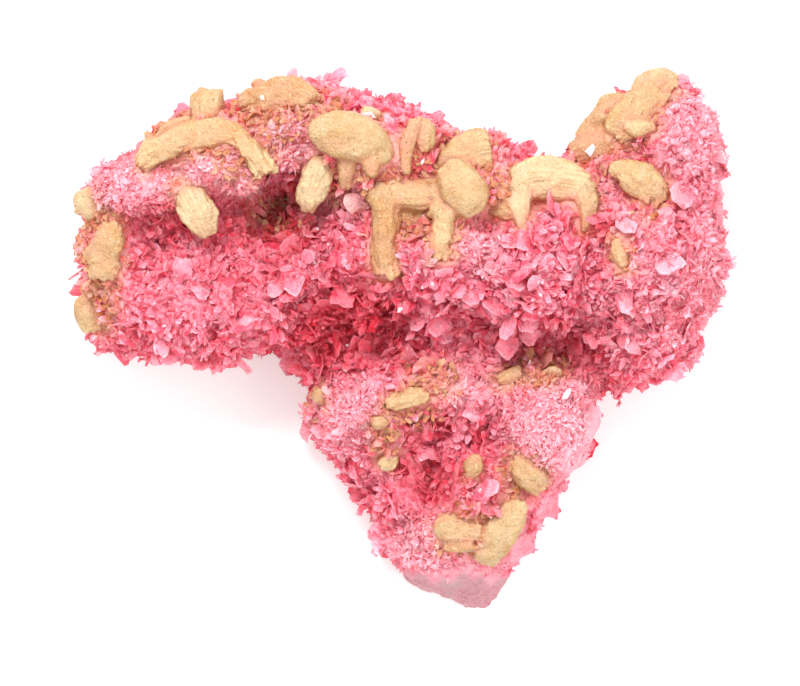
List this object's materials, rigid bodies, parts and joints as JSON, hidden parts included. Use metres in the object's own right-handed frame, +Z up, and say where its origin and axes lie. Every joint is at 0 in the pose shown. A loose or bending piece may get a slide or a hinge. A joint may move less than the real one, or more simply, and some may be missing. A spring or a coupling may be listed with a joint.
{
  "type": "axinite specimen",
  "caption": "Mineral specimen: a T-shaped crust of bladed pink axinite with tan stilbite sheaves along its top edge, lying on a flat broken back.",
  "frame": {"origin": "middle of the base, on the surface the specimen lies on", "axes": "+X along the wide bar of the crust, +Y from the narrow toe to the bar, +Z up, away from the broken back"},
  "size_m": [0.0728, 0.0592, 0.0271],
  "materials": {
    "axinite": "translucent pink blades with a glassy lustre",
    "stilbite": "tan, pearly to satin sheaves"
  },
  "bodies": {
    "root": {"arch_left": "stilbite", "blade_lone_left": "stilbite", "blade_lone_middle": "stilbite", "blade_lone_right": "stilbite", "cluster_centre": "stilbite", "cluster_horn": "stilbite", "cluster_right": "stilbite", "cluster_toe": "stilbite", "crust": "axinite", "knob_stem_edge": "stilbite", "knob_stem_left": "stilbite", "knob_stem_low_left": "stilbite", "knob_stem_top": "stilbite", "lobe_ridge": "stilbite", "lobe_top_left": "stilbite", "plate_left_corner": "stilbite", "plates_left_edge": "stilbite", "sheaf_crest": "stilbite", "sheaf_left_tip": "stilbite", "sheaf_stem_middle": "stilbite", "sheaf_stem_right": "stilbite", "sheaf_stem_top": "stilbite", "sheaf_stem_upper": "stilbite", "spear_ridge": "stilbite", "streak_right": "stilbite", "tooth_left": "stilbite", "tooth_ridge": "stilbite"}
  },
  "joints": []
}
